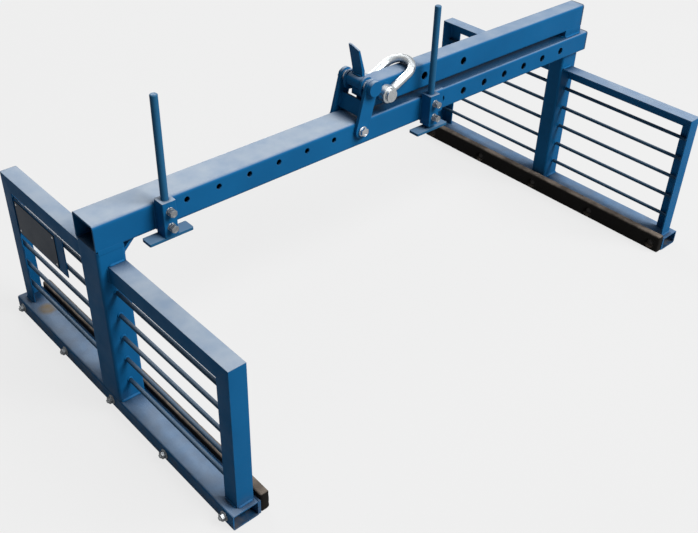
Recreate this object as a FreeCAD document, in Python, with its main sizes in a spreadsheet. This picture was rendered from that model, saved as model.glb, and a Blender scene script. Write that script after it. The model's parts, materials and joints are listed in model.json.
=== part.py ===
import FreeCAD
import Part
import Sketcher
import math
import os
import re

# Lifting tongs: two guard-railed jaws on a telescoping beam, hung from a draw bar by a bow.
# +X runs along the beam from the left jaw to the right one, +Y away from the viewer, +Z up.
# The origin is on the floor, in the middle of the box round the whole tool.

doc = FreeCAD.newDocument("lifting_tongs")
sheet = doc.addObject("Spreadsheet::Sheet", "size")

driving_sizes = (
    # jaws: base rails, posts and guard frames
    ("jaw_spread", 1950),
    ("jaw_length", 1140),
    ("base_width", 80),
    ("base_height", 50),
    ("base_wall", 4),
    ("base_corner", 6),
    ("rail_width", 50),
    ("rail_height", 40),
    ("rail_wall", 3),
    ("rail_corner", 5),
    ("rail_offset", 25),
    ("rail_top", 500),
    ("end_inset", 16),
    ("rod_dia", 12),
    ("rod_pitch", 75),
    ("rod_lowest", 114),
    ("rod_count", 5),
    ("rod_offset", 38),
    # grip pads and their bolts
    ("backing_thick", 5),
    ("backing_height", 46),
    ("pad_thick", 28),
    ("pad_height", 66),
    ("pad_chamfer", 4),
    ("pad_bolt_dia", 12),
    ("pad_bolt_margin", 36),
    ("pad_bolt_count", 5),
    ("pad_bolt_tip", 4),
    ("pad_head_dia", 26),
    ("pad_head_thick", 6),
    ("pad_head_depth", 14),
    ("pad_head_room", 3),
    ("bolt_clearance", 0.3),
    ("thread_clearance", 0.1),
    ("nut_across", 19),
    ("nut_thick", 10),
    ("washer_dia", 28),
    ("washer_thick", 2.5),
    # carrier tube with the left post
    ("clear_height", 547),
    ("carrier_length", 1220),
    ("carrier_width", 100),
    ("carrier_height", 80),
    ("carrier_wall", 5),
    ("carrier_corner", 9),
    ("knee_leg", 34),
    ("knee_thick", 8),
    ("knee_width", 80),
    ("peg_dia", 16),
    ("peg_first", 268),
    ("peg_pitch", 100),
    ("peg_count", 7),
    ("peg_height", 53),
    # inner tube, draw bar and right post
    ("slide_clearance", 0.4),
    ("inner_room", 54),
    ("inner_wall", 5),
    ("inner_corner", 7),
    ("inner_peg_end", 149),
    ("inner_peg_margin", 60),
    ("stub_length", 20),
    ("bar_width", 60),
    ("bar_height", 80),
    ("bar_wall", 5),
    ("bar_corner", 8),
    ("bar_gap", 15),
    ("bar_inset", 9),
    ("bow_hole_first", 50),
    ("bow_hole_pitch", 175),
    ("bow_hole_count", 3),
    ("block_length", 86),
    # swing links and the lugs on the draw bar that hold their head pin
    ("link_width", 48),
    ("link_thick", 10),
    ("link_length", 131),
    ("link_lean_angle", 14.6),
    ("link_gap", 0.5),
    ("web_thick", 10),
    ("web_clearance", 2),
    ("web_tail_gap", 4),
    ("pivot_clearance", 0.1),
    ("arm_travel", 30),
    ("slot_play", 0.8),
    ("lug_thick", 8),
    ("lug_rim", 11),
    ("lug_overlap", 20),
    ("head_pin_dia", 24),
    ("head_flange_dia", 46),
    ("head_flange_thick", 15),
    ("head_tail", 12),
    ("spacer_wall", 6),
    ("split_pin_dia", 5),
    ("split_pin_length", 40),
    ("fulcrum_head_across", 24),
    ("fulcrum_head_thick", 10),
    ("fulcrum_washer_dia", 30),
    ("fulcrum_washer_thick", 3),
    ("fulcrum_nut_thick", 13),
    ("fulcrum_tip", 5),
    # latch lever on the head pin
    ("hub_wall", 6),
    ("hub_gap", 2),
    ("bush_wall", 3),
    ("bush_clearance", 0.02),
    ("lever_thick", 10),
    ("lever_width", 42),
    ("lever_tail", 45),
    ("lever_knee", 36),
    ("horn_length", 80),
    ("horn_bend_angle", 15),
    ("horn_tip_width", 40),
    ("horn_tip_thick", 5),
    ("horn_slope", 16),
    # lifting bow
    ("bow_pin_dia", 25),
    ("bow_clearance", 0.3),
    ("bow_rod_dia", 25),
    ("bow_side_gap", 5.5),
    ("bow_reach", 136),
    ("bow_eye_dia", 52),
    ("bow_eye_thick", 27),
    ("bow_rest_gap", 0.3),
    ("bow_head_dia", 38),
    ("bow_head_thick", 8),
    ("bow_pin_tail", 12),
    # depth stops
    ("stop_left_inset", 192),
    ("stop_right_inset", 80),
    ("stop_right_drop", 10),
    ("stop_rod_dia", 20),
    ("stop_rod_length", 385),
    ("stop_rod_chamfer", 2),
    ("stop_clearance", 0.1),
    ("sleeve_size", 40),
    ("sleeve_corner", 3),
    ("sleeve_height", 100),
    ("sleeve_drop", 6),
    ("foot_length", 130),
    ("foot_width", 38),
    ("foot_thick", 8),
    ("foot_corner", 4),
    ("foot_gap", 0.5),
    ("clamp_dia", 12),
    ("clamp_lower", 28),
    ("clamp_spacing", 46),
    ("clamp_head_across", 19),
    ("clamp_head_thick", 8),
    ("clamp_stand", 3),
    ("clamp_nut_thick", 8),
    ("clamp_tip_gap", 0.3),
    # bare sign plate on the left guard frame
    ("sign_length", 236),
    ("sign_height", 108),
    ("sign_thick", 2),
    ("sign_end_gap", 16),
    ("sign_top", 426),
    ("sign_margin", 8),
    ("sign_extra", 46),
    ("backing_sheet_thick", 3),
    ("weld_gap", 0.2),
)
for row, (alias, amount) in enumerate(driving_sizes, start=1):
    sheet.set(f"A{row}", alias)
    sheet.set(f"B{row}", str(amount))
    sheet.setAlias(f"B{row}", alias)
doc.recompute()


# Expressions: a bare word in the text of an expression is a cell of the sheet.
def cells(text):
    return re.sub(r"\b([a-z]\w*)\b(?!\()", r"size.\1", str(text))


def number(text):
    return float(sheet.evalExpression(cells(text)))


def bind(thing, **properties):
    for name, text in properties.items():
        thing.setExpression(name, cells(text))


def place(thing, x="0", y="0", z="0", axis=(0, 0, 1), angle=0.0):
    turn = FreeCAD.Rotation(FreeCAD.Vector(*axis), angle)
    thing.Placement = FreeCAD.Placement(FreeCAD.Vector(0, 0, 0), turn)
    for name, text in (("x", x), ("y", y), ("z", z)):
        thing.setExpression(f"Placement.Base.{name}", cells(text))
    return thing


# Derived places, each written in terms of the sheet
pad_bolt_pitch = "((jaw_length - 2*pad_bolt_margin)/(pad_bolt_count - 1))"
nut_reach = "(washer_thick + nut_thick + pad_bolt_tip)"
mid_x = f"((jaw_spread + stub_length - {nut_reach})/2)"
carrier_top = "(clear_height + carrier_height)"
inner_width = "(carrier_width - 2*carrier_wall - 2*slide_clearance)"
inner_height = "(carrier_height - 2*carrier_wall - 2*slide_clearance)"
inner_bottom = "(clear_height + carrier_wall + slide_clearance)"
inner_top = f"({inner_bottom} + {inner_height})"
bar_bottom = f"({carrier_top} + bar_gap)"
bar_middle = f"({bar_bottom} + bar_height/2)"
bar_top = f"({bar_bottom} + bar_height)"
fulcrum_x = "(peg_first + (peg_count - 1)*peg_pitch)"
fulcrum_z = "(clear_height + peg_height)"
inner_left = f"({fulcrum_x} + peg_dia/2 + inner_room)"
inner_length = f"(jaw_spread + stub_length - {inner_left})"
inner_peg_count = f"(floor(({inner_length} - inner_peg_end - inner_peg_margin)/peg_pitch) + 1)"
head_x = f"({fulcrum_x} + link_length*sin(link_lean_angle))"
head_z = f"({fulcrum_z} + link_length*cos(link_lean_angle))"
open_sine = "(sin(link_lean_angle) + arm_travel/link_length)"
head_drop = f"(link_length*(cos(link_lean_angle) - sqrt(1 - {open_sine}^2)))"
bush_inner = "(head_pin_dia/2 + pivot_clearance)"
bush_outer = f"({bush_inner} + bush_wall)"
hub_inner = f"({bush_outer} + bush_clearance)"
hub_outer = f"({hub_inner} + hub_wall)"
bar_left = f"({head_x} + {hub_outer} + hub_gap)"
bar_length = f"(jaw_spread - bar_inset - {bar_left})"
bow_x = f"({bar_left} + bow_hole_first)"
lug_face = "(bar_width/2 + lug_thick)"
link_inner = "(carrier_width/2 + link_gap)"
link_outer = f"({link_inner} + link_thick)"
stop_y = "(-carrier_width/2 - sleeve_size/2)"
sleeve_bottom = "(clear_height - sleeve_drop)"
foot_top = f"({sleeve_bottom} - foot_gap)"
pad_face = "(base_width + backing_thick + pad_thick)"
end_face = "(jaw_length/2 - end_inset)"
rail_x = "(rail_offset + rail_width/2)"


# Bodies and sketches
def new_body(name):
    return labelled(doc.addObject("PartDesign::Body", name), name)


def new_sketch(body, role, offset="0"):
    plane = next(feature for feature in body.Origin.OriginFeatures if feature.Role == role)
    sketch = body.newObject("Sketcher::SketchObject", "Sketch")
    sketch.AttachmentSupport = (plane, [""])
    sketch.MapMode = "FlatFace"
    sketch.setExpression("AttachmentOffset.Base.z", cells(offset))
    return sketch


def hold(sketch, kind, *where, text):
    index = sketch.addConstraint(Sketcher.Constraint(kind, *where, number(text)))
    sketch.setExpression(f"Constraints[{index}]", cells(text))


def point(u, v):
    return FreeCAD.Vector(number(u), number(v), 0)


# A closed outline. A step (u, v) is a straight line to that point, and a step
# (u, v, centre u, centre v, radius, turn) an arc about that centre, turn 1 counterclockwise.
def outline(sketch, steps):
    normal = FreeCAD.Vector(0, 0, 1)
    corners = [point(step[0], step[1]) for step in steps]
    ends = []
    for index, step in enumerate(steps):
        start, stop = corners[index - 1], corners[index]
        if len(step) == 2:
            edge = sketch.addGeometry(Part.LineSegment(start, stop))
            ends.append((edge, 1, 2))
            continue
        centre, radius, turn = point(step[2], step[3]), number(step[4]), step[5]
        first, last = (start, stop) if turn > 0 else (stop, start)
        angles = [math.atan2(end.y - centre.y, end.x - centre.x) for end in (first, last)]
        if angles[1] <= angles[0]:
            angles[1] += 2*math.pi
        arc = Part.ArcOfCircle(Part.Circle(centre, normal, radius), *angles)
        edge = sketch.addGeometry(arc)
        ends.append((edge, 1, 2) if turn > 0 else (edge, 2, 1))
        # the ends of a half circle fix its radius, so its centre's height is held instead
        if math.isclose(start.y, stop.y):
            hold(sketch, "DistanceY", -1, 1, edge, 3, text=step[3])
        else:
            hold(sketch, "Radius", edge, text=step[4])
    for index, step in enumerate(steps):
        edge, _, stop = ends[index]
        following, start, _ = ends[(index + 1) % len(ends)]
        sketch.addConstraint(Sketcher.Constraint("Coincident", edge, stop, following, start))
        hold(sketch, "DistanceX", -1, 1, edge, stop, text=step[0])
        hold(sketch, "DistanceY", -1, 1, edge, stop, text=step[1])


def circle(sketch, u, v, radius):
    normal = FreeCAD.Vector(0, 0, 1)
    edge = sketch.addGeometry(Part.Circle(point(u, v), normal, number(radius)))
    hold(sketch, "Radius", edge, text=radius)
    hold(sketch, "DistanceX", -1, 1, edge, 3, text=u)
    hold(sketch, "DistanceY", -1, 1, edge, 3, text=v)


def rounded_box(sketch, width, height, corner):
    u, v, r = f"({width})/2", f"({height})/2", f"({corner})"
    steps = []
    for su, sv in ((1, -1), (1, 1), (-1, 1), (-1, -1)):
        centre = (f"{su}*({u} - {r})", f"{sv}*({v} - {r})")
        along = (f"{su}*({u} - {r})", f"{sv}*({v})")
        across = (f"{su}*({u})", f"{sv}*({v} - {r})")
        entry, leave = (along, across) if su*sv < 0 else (across, along)
        steps.append(entry)
        steps.append((*leave, *centre, r, 1))
    outline(sketch, steps)


def pad(body, sketch, length, middle=False, back=False):
    feature = body.newObject("PartDesign::Pad", "Pad")
    feature.Profile = sketch
    feature.Midplane = middle
    feature.Reversed = back
    bind(feature, Length=length)
    body.Tip = feature
    return feature


def pocket(body, sketch, length=None, middle=False, back=False):
    feature = body.newObject("PartDesign::Pocket", "Pocket")
    feature.Profile = sketch
    feature.Midplane = middle
    feature.Reversed = back
    if length is None:
        feature.Type = "ThroughAll"
    else:
        bind(feature, Length=length)
    body.Tip = feature
    return feature


def repeat(body, feature, sketch, pitch, count):
    pattern = body.newObject("PartDesign::LinearPattern", "LinearPattern")
    pattern.Originals = [feature]
    pattern.Direction = (sketch, ["H_Axis"])
    bind(pattern, Length=f"({pitch})*({count} - 1)", Occurrences=count)
    body.Tip = pattern


# A rectangular hollow section along one axis, from the body's origin forward
def hollow_section(name, axis, width, height, wall, corner, length):
    body = new_body(name)
    sketch = new_sketch(body, {"X": "YZ_Plane", "Y": "XZ_Plane", "Z": "XY_Plane"}[axis])
    rounded_box(sketch, width, height, corner)
    rounded_box(sketch, f"({width}) - 2*({wall})", f"({height}) - 2*({wall})", f"({corner}) - ({wall})")
    pad(body, sketch, length, back=axis == "Y")
    return body


# A row of round holes right through a body
def drill_row(body, role, u, v, diameter, pitch, count):
    sketch = new_sketch(body, role)
    circle(sketch, u, v, f"({diameter})/2")
    repeat(body, pocket(body, sketch, middle=True), sketch, pitch, count)


# A turned piece about its own Z axis from its half profile of (radius, height) points
def turned(name, profile):
    body = new_body(name)
    sketch = new_sketch(body, "XZ_Plane")
    outline(sketch, profile)
    feature = body.newObject("PartDesign::Revolution", "Revolution")
    feature.Profile = sketch
    feature.ReferenceAxis = (sketch, ["V_Axis"])
    feature.Angle = 360
    body.Tip = feature
    return body


def ring(name, inner, outer, length):
    return turned(name, [(inner, "0"), (outer, "0"), (outer, length), (inner, length)])


def labelled(thing, name):
    thing.Label = name
    return thing


def cylinder(radius, length, name="Cylinder"):
    thing = doc.addObject("Part::Cylinder", name)
    bind(thing, Radius=radius, Height=length)
    return thing


def block(name, length, width, height):
    thing = labelled(doc.addObject("Part::Box", name), name)
    bind(thing, Length=length, Width=width, Height=height)
    return thing


def hexagon(across, height):
    thing = doc.addObject("Part::Prism", "Prism")
    thing.Polygon = 6
    bind(thing, Circumradius=f"({across})/sqrt(3)", Height=height)
    return thing


def joined(name, pieces):
    thing = doc.addObject("Part::MultiFuse", name)
    thing.Shapes = pieces
    return thing


def without(name, base, tool):
    thing = doc.addObject("Part::Cut", name)
    thing.Base = base
    thing.Tool = tool
    return thing


def group(name, pieces):
    thing = labelled(doc.addObject("Part::Compound", name), name)
    thing.Links = pieces
    return thing


# A hexagon screw along +Z, its head under the origin
def hex_screw(name, across, head, diameter, length):
    top = place(hexagon(across, head), z=f"-({head})")
    return labelled(joined(name, [top, cylinder(f"({diameter})/2", length)]), name)


def hex_nut(name, across, height, bore):
    return labelled(without(name, hexagon(across, height), cylinder(f"({bore})/2", height)), name)


nodes = []


def keep(thing):
    nodes.append(thing)
    return thing


# Jaws. Each is made as the left one, with x from its outer face, and the right one is turned about.
def on_jaw(thing, side, x, y, z, axis=(0, 0, 1), angle=0.0):
    if side == "left":
        return place(thing, f"{x} - {mid_x}", y, z, axis, angle)
    return place(thing, f"jaw_spread - ({x}) - {mid_x}", f"-({y})", z, axis, angle + 180)


def make_base(side):
    base = hollow_section(
        f"{side}_base_rail", "Y", "base_width", "base_height", "base_wall", "base_corner", "jaw_length"
    )
    first = "pad_bolt_margin"
    hole = "pad_bolt_dia + 2*bolt_clearance"
    drill_row(base, "YZ_Plane", first, "0", hole, pad_bolt_pitch, "pad_bolt_count")
    keep(on_jaw(base, side, "base_width/2", "-jaw_length/2", "base_height/2"))

    backing = new_body(f"{side}_pad_backing")
    sketch = new_sketch(backing, "XZ_Plane")
    outline(sketch, [
        ("backing_thick", "-backing_height/2"),
        ("backing_thick", "backing_height/2"),
        ("0", "backing_height/2"),
        ("0", "-backing_height/2"),
    ])
    pad(backing, sketch, "jaw_length", back=True)
    drill_row(backing, "YZ_Plane", first, "0", hole, pad_bolt_pitch, "pad_bolt_count")
    keep(on_jaw(backing, side, "base_width", "-jaw_length/2", "base_height/2"))

    grip = new_body(f"{side}_grip_pad")
    sketch = new_sketch(grip, "XZ_Plane")
    outline(sketch, [
        ("pad_thick - pad_chamfer", "0"),
        ("pad_thick", "pad_chamfer"),
        ("pad_thick", "pad_height - pad_chamfer"),
        ("pad_thick - pad_chamfer", "pad_height"),
        ("0", "pad_height"),
        ("0", "0"),
    ])
    pad(grip, sketch, "jaw_length", back=True)
    drill_row(grip, "YZ_Plane", first, "base_height/2", hole, pad_bolt_pitch, "pad_bolt_count")
    recess = new_sketch(grip, "YZ_Plane", "pad_thick")
    circle(recess, first, "base_height/2", "pad_head_dia/2 + pad_head_room")
    repeat(grip, pocket(grip, recess, "pad_head_depth"), recess, pad_bolt_pitch, "pad_bolt_count")
    keep(on_jaw(grip, side, "base_width + backing_thick", "-jaw_length/2", "0"))


def make_pad_bolts(side):
    floor = f"({pad_face} - pad_head_depth)"
    bolts, nuts = [], []
    for index in range(int(number("pad_bolt_count"))):
        y = f"{pad_bolt_pitch}*{index} + pad_bolt_margin - jaw_length/2"
        head = cylinder("pad_head_dia/2", "pad_head_thick")
        shank = cylinder("pad_bolt_dia/2", f"{floor} + {nut_reach}")
        place(head, floor, y, "base_height/2", (0, 1, 0), 90)
        place(shank, f"-{nut_reach}", y, "base_height/2", (0, 1, 0), 90)
        bolts.append(joined("Bolt", [head, shank]))
        bore = "pad_bolt_dia + 2*thread_clearance"
        nut = hex_nut("Nut", "nut_across", "nut_thick", bore)
        washer = ring("Washer", f"({bore})/2", "washer_dia/2", "washer_thick")
        place(nut, "-washer_thick - nut_thick", y, "base_height/2", (0, 1, 0), 90)
        place(washer, "-washer_thick", y, "base_height/2", (0, 1, 0), 90)
        nuts += [nut, washer]
    keep(on_jaw(group(f"{side}_pad_bolts", bolts), side, "0", "0", "0"))
    keep(on_jaw(group(f"{side}_pad_nuts", nuts), side, "0", "0", "0"))


# Half a guard frame: a top rail and an end post, mitred at the corner
def make_frame_half(side, end, post_half):
    sign, spin = ("-1", 0) if end == "front" else ("1", 180)
    x = f"{rail_x} - {mid_x}" if side == "left" else f"jaw_spread - {rail_x} - {mid_x}"
    rail = hollow_section(
        f"{side}_top_rail_{end}", "Y", "rail_width", "rail_height", "rail_wall", "rail_corner",
        f"{end_face} - {post_half}",
    )
    mitre = new_sketch(rail, "YZ_Plane")
    outline(mitre, [
        ("0", "rail_height/2"), ("0", "-rail_height/2"), ("rail_height", "-rail_height/2"),
    ])
    pocket(rail, mitre, middle=True)
    post = hollow_section(
        f"{side}_end_post_{end}", "Z", "rail_width", "rail_height", "rail_wall", "rail_corner",
        "rail_top - base_height",
    )
    mitre = new_sketch(post, "YZ_Plane")
    top = "rail_top - base_height"
    outline(mitre, [
        ("-rail_height/2", top), ("rail_height/2", f"{top} - rail_height"), ("rail_height/2", top),
    ])
    pocket(post, mitre, middle=True)
    place(rail, x, f"{sign}*{end_face}", "rail_top - rail_height/2", angle=spin)
    place(post, x, f"{sign}*({end_face} - rail_height/2)", "base_height", angle=spin)
    keep(rail)
    keep(post)


def make_rods(side, post_half):
    length = f"{end_face} - rail_height - {post_half}"
    rods = []
    for index in range(int(number("rod_count"))):
        height = f"rod_lowest + rod_pitch*{index}"
        for start in (f"-({end_face} - rail_height)", f"({post_half})"):
            rod = cylinder("rod_dia/2", length, "Rod")
            rods.append(place(rod, "0", start, height, (1, 0, 0), -90))
    keep(on_jaw(group(f"{side}_guard_rods", rods), side, "rod_offset", "0", "0"))


for side, post_half in (("left", "carrier_width/2"), ("right", "bar_width/2")):
    make_base(side)
    make_pad_bolts(side)
    for end in ("front", "back"):
        make_frame_half(side, end, post_half)
    make_rods(side, post_half)

# Carrier tube on the left post, with the row of fulcrum holes high on its sides
carrier = hollow_section(
    "carrier_tube", "X", "carrier_width", "carrier_height", "carrier_wall", "carrier_corner",
    "carrier_length",
)
peg_hole = "peg_dia + 2*bolt_clearance"
peg_level = "peg_height - carrier_height/2"
drill_row(carrier, "XZ_Plane", "peg_first", peg_level, peg_hole, "peg_pitch", "peg_count")
keep(place(carrier, f"-{mid_x}", z="clear_height + carrier_height/2"))

left_post = hollow_section(
    "left_post", "Z", "carrier_height", "carrier_width", "carrier_wall", "carrier_corner",
    "clear_height - base_height",
)
keep(place(left_post, f"carrier_height/2 - {mid_x}", z="base_height"))

knee = new_body("left_knee_plate")
sketch = new_sketch(knee, "XZ_Plane")
outline(sketch, [
    ("0", "-knee_leg"), ("knee_leg", "0"),
    ("knee_leg - knee_thick*sqrt(2)", "0"), ("0", "-knee_leg + knee_thick*sqrt(2)"),
])
pad(knee, sketch, "knee_width", middle=True)
keep(place(knee, f"carrier_height - {mid_x}", z="clear_height"))

# Right arm: inner tube, draw bar on its end block, and the right post
inner = hollow_section(
    "inner_tube", "X", inner_width, inner_height, "inner_wall", "inner_corner", inner_length
)
first_hole = f"{inner_length} - inner_peg_end - peg_pitch*({inner_peg_count} - 1)"
drill_row(inner, "XZ_Plane", first_hole, "0", peg_hole, "peg_pitch", inner_peg_count)
keep(place(inner, f"{inner_left} - {mid_x}", z=f"{inner_bottom} + {inner_height}/2"))

bar = hollow_section("draw_bar", "X", "bar_width", "bar_height", "bar_wall", "bar_corner", bar_length)
bow_hole = "bow_pin_dia + 2*bow_clearance"
drill_row(bar, "XZ_Plane", "bow_hole_first", "0", bow_hole, "bow_hole_pitch", "bow_hole_count")
keep(place(bar, f"{bar_left} - {mid_x}", z=bar_middle))

end_block = block("draw_bar_block", "block_length", "bar_width", f"{bar_bottom} - {inner_top}")
keep(place(end_block, f"jaw_spread - bar_inset - block_length - {mid_x}", "-bar_width/2", inner_top))

right_post = hollow_section(
    "right_post", "Z", "bar_height", "bar_width", "bar_wall", "bar_corner", f"{inner_bottom} - base_height"
)
keep(place(right_post, f"jaw_spread - bar_height/2 - {mid_x}", z="base_height"))


# Lug plates on the draw bar's left end, with an upright slot that the head pin rides in
def make_lug(name, inner_face):
    rim = "(head_pin_dia/2 + slot_play + lug_rim)"
    slot = "(head_pin_dia/2 + slot_play)"
    right = f"({hub_outer} + hub_gap + lug_overlap)"
    shoulder = f"({bar_top} - {head_z})"
    lug = new_body(name)
    sketch = new_sketch(lug, "XZ_Plane")
    outline(sketch, [
        (f"-{rim}", f"-{head_drop}"),
        ("0", f"-{head_drop} - {rim}", "0", f"-{head_drop}", rim, 1),
        (right, f"-{head_drop} - {rim}"),
        (right, shoulder),
        (rim, shoulder),
        (rim, "0"),
        (f"-{rim}", "0", "0", "0", rim, 1),
    ])
    outline(sketch, [
        (f"-{slot}", f"-{head_drop}"),
        (slot, f"-{head_drop}", "0", f"-{head_drop}", slot, 1),
        (slot, "0"),
        (f"-{slot}", "0", "0", "0", slot, 1),
    ])
    pad(lug, sketch, "lug_thick", back=True)
    return keep(place(lug, f"{head_x} - {mid_x}", inner_face, head_z))


make_lug("draw_bar_lug_front", f"-{lug_face}")
make_lug("draw_bar_lug_rear", "bar_width/2")


# Swing links from the fulcrum bolt to the head pin
def make_link(name, inner_face):
    half = "link_width/2"
    link = new_body(name)
    sketch = new_sketch(link, "XZ_Plane")
    outline(sketch, [
        (half, "0", "0", "0", half, 1),
        (half, "link_length"),
        (f"-{half}", "link_length", "0", "link_length", half, 1),
        (f"-{half}", "0"),
    ])
    circle(sketch, "0", "0", "peg_dia/2 + pivot_clearance")
    circle(sketch, "0", "link_length", "head_pin_dia/2 + pivot_clearance")
    pad(link, sketch, "link_thick", back=True)
    lean = number("link_lean_angle")
    return keep(place(link, f"{fulcrum_x} - {mid_x}", inner_face, fulcrum_z, (0, 1, 0), lean))


make_link("link_front", f"-{link_outer}")
make_link("link_rear", link_inner)

# Web plate that joins the links into a fork, clear of the carrier at full lean and of the latch's tail
web_height = f"({carrier_top} - {fulcrum_z} + web_clearance)"
web_first = f"(({web_height} + web_thick/2*{open_sine})/sqrt(1 - {open_sine}^2))"
web_last = "(link_length - sqrt(lever_tail^2 + (lever_thick/2)^2) - web_tail_gap)"
web = new_body("link_web")
sketch = new_sketch(web, "XZ_Plane")
outline(sketch, [
    ("web_thick/2", web_first),
    ("web_thick/2", web_last),
    ("-web_thick/2", web_last),
    ("-web_thick/2", web_first),
])
pad(web, sketch, f"2*{link_inner}", middle=True)
web_lean = number("link_lean_angle")
keep(place(web, f"{fulcrum_x} - {mid_x}", "0", fulcrum_z, (0, 1, 0), web_lean))


# A pin along +Y with a flange at its front end and a split pin through its tail
def make_pin(name, diameter, flange_dia, flange_thick, reach, tail, x, z):
    radius = f"({diameter})/2"
    blank = turned("PinBlank", [
        ("0", f"-({flange_thick})"), (f"({flange_dia})/2", f"-({flange_thick})"), (f"({flange_dia})/2", "0"),
        (radius, "0"), (radius, f"2*({reach}) + ({tail})"), ("0", f"2*({reach}) + ({tail})"),
    ])
    split_at = f"2*({reach}) + ({tail})/2"
    cross = cylinder("split_pin_dia/2 + thread_clearance", f"2*({diameter})")
    place(cross, f"-({diameter})", "0", split_at, (0, 1, 0), 90)
    pin = labelled(without(name, blank, cross), name)
    keep(place(pin, x, f"-({reach})", z, (1, 0, 0), -90))
    split = labelled(cylinder("split_pin_dia/2", "split_pin_length"), f"{name}_split_pin")
    split_y = f"({reach}) + ({tail})/2"
    keep(place(split, f"{x} - split_pin_length/2", split_y, z, (0, 1, 0), 90))


head_reach = f"{link_outer} + link_gap"
make_pin(
    "head_pin", "head_pin_dia", "head_flange_dia", "head_flange_thick", head_reach, "head_tail",
    f"{head_x} - {mid_x}", head_z,
)

spacer_length = f"{link_inner} - {lug_face} - link_gap"
spacers = []
for face in (f"-{link_inner}", f"{lug_face} + link_gap"):
    spacer = ring("Spacer", bush_inner, f"{bush_inner} + spacer_wall", spacer_length)
    spacers.append(place(spacer, f"{head_x} - {mid_x}", face, head_z, (1, 0, 0), -90))
keep(group("head_spacers", spacers))

# Fulcrum bolt through the carrier and both links
washer_face = f"({link_outer} + link_gap)"
fulcrum_face = f"({washer_face} + fulcrum_washer_thick)"
fulcrum_bolt = hex_screw(
    "fulcrum_bolt", "fulcrum_head_across", "fulcrum_head_thick", "peg_dia",
    f"2*{fulcrum_face} + fulcrum_nut_thick + fulcrum_tip",
)
keep(place(fulcrum_bolt, f"{fulcrum_x} - {mid_x}", f"-{fulcrum_face}", fulcrum_z, (1, 0, 0), -90))
fulcrum_nut = hex_nut(
    "fulcrum_nut", "fulcrum_head_across", "fulcrum_nut_thick", "peg_dia + 2*thread_clearance"
)
keep(place(fulcrum_nut, f"{fulcrum_x} - {mid_x}", fulcrum_face, fulcrum_z, (1, 0, 0), -90))
washers = []
for face in (f"-{fulcrum_face}", washer_face):
    washer = ring("Washer", "peg_dia/2 + thread_clearance", "fulcrum_washer_dia/2", "fulcrum_washer_thick")
    washers.append(place(washer, f"{fulcrum_x} - {mid_x}", face, fulcrum_z, (1, 0, 0), -90))
keep(group("fulcrum_washers", washers))

# Latch lever: a tail and a bent horn of plate welded to a hub that turns on the head pin
hub_length = "(bar_width - 2*link_gap)"
side_profile = new_body("LeverSide")
sketch = new_sketch(side_profile, "XZ_Plane")
half = "lever_thick/2"
tip_x = "(-horn_length*sin(horn_bend_angle))"
tip_z = "(lever_knee + horn_length*cos(horn_bend_angle))"
outline(sketch, [
    (half, "-lever_tail"),
    (half, "lever_knee"),
    (f"{tip_x} + horn_tip_thick/2", f"{tip_z} + horn_tip_thick/2*tan(horn_bend_angle)"),
    (f"{tip_x} - horn_tip_thick/2", f"{tip_z} - horn_tip_thick/2*tan(horn_bend_angle)"),
    (f"-{half}", "lever_knee"),
    (f"-{half}", "-lever_tail"),
])
pad(side_profile, sketch, "lever_width", middle=True)
front_profile = new_body("LeverFront")
sketch = new_sketch(front_profile, "YZ_Plane")
over = f"{tip_z} + horn_tip_thick"
outline(sketch, [
    ("lever_width/2", "-lever_tail"),
    ("lever_width/2", "lever_knee"),
    ("horn_tip_width/2", over),
    ("-horn_tip_width/2", f"{over} - horn_slope"),
    ("-lever_width/2", "lever_knee"),
    ("-lever_width/2", "-lever_tail"),
])
pad(front_profile, sketch, "4*horn_length", middle=True)
blade = doc.addObject("Part::Common", "Blade")
blade.Base = side_profile
blade.Tool = front_profile
hub = place(cylinder(hub_outer, hub_length), "0", f"-{hub_length}/2", "0", (1, 0, 0), -90)
bore = place(cylinder(hub_inner, hub_length), "0", f"-{hub_length}/2", "0", (1, 0, 0), -90)
lever = without("latch_lever", joined("LeverWeldment", [blade, hub]), bore)
keep(place(labelled(lever, "latch_lever"), f"{head_x} - {mid_x}", "0", head_z))
latch_bush = ring("latch_bush", bush_inner, bush_outer, hub_length)
keep(place(latch_bush, f"{head_x} - {mid_x}", f"-{hub_length}/2", head_z, (1, 0, 0), -90))

# Lifting bow: a round-bar bow with flat eyes, lying back on the draw bar
bow_half = "(bar_width/2 + bow_side_gap + bow_rod_dia/2)"
# the arch touches the bar where it passes over the bar's sides
bow_touch = f"(bow_reach - {bow_half} + sqrt({bow_half}^2 - (bar_width/2)^2))"
bow_rest = number(f"asin((bar_height/2 + bow_rod_dia/2 + bow_rest_gap)/{bow_touch})")
bow_pieces = []
arch = doc.addObject("Part::Torus", "Arch")
arch.Angle3 = 180
bind(arch, Radius1=bow_half, Radius2="bow_rod_dia/2")
bow_pieces.append(place(arch, f"bow_reach - {bow_half}", angle=-90))
for sign in ("-1", "1"):
    leg = cylinder("bow_rod_dia/2", f"bow_reach - {bow_half}", "Leg")
    bow_pieces.append(place(leg, "0", f"{sign}*{bow_half}", "0", (0, 1, 0), 90))
    eye = cylinder("bow_eye_dia/2", "bow_eye_thick", "Eye")
    bow_pieces.append(place(eye, "0", f"{sign}*{bow_half} - bow_eye_thick/2", "0", (1, 0, 0), -90))
eye_bore = cylinder(f"({bow_hole})/2", f"4*{bow_half}", "EyeBore")
place(eye_bore, "0", f"-2*{bow_half}", "0", (1, 0, 0), -90)
bow = labelled(without("lifting_bow", joined("BowForging", bow_pieces), eye_bore), "lifting_bow")
keep(place(bow, f"{bow_x} - {mid_x}", "0", bar_middle, (0, 1, 0), -bow_rest))
make_pin(
    "bow_pin", "bow_pin_dia", "bow_head_dia", "bow_head_thick", f"{bow_half} + bow_eye_thick/2 + link_gap",
    "bow_pin_tail", f"{bow_x} - {mid_x}", bar_middle,
)


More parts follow.
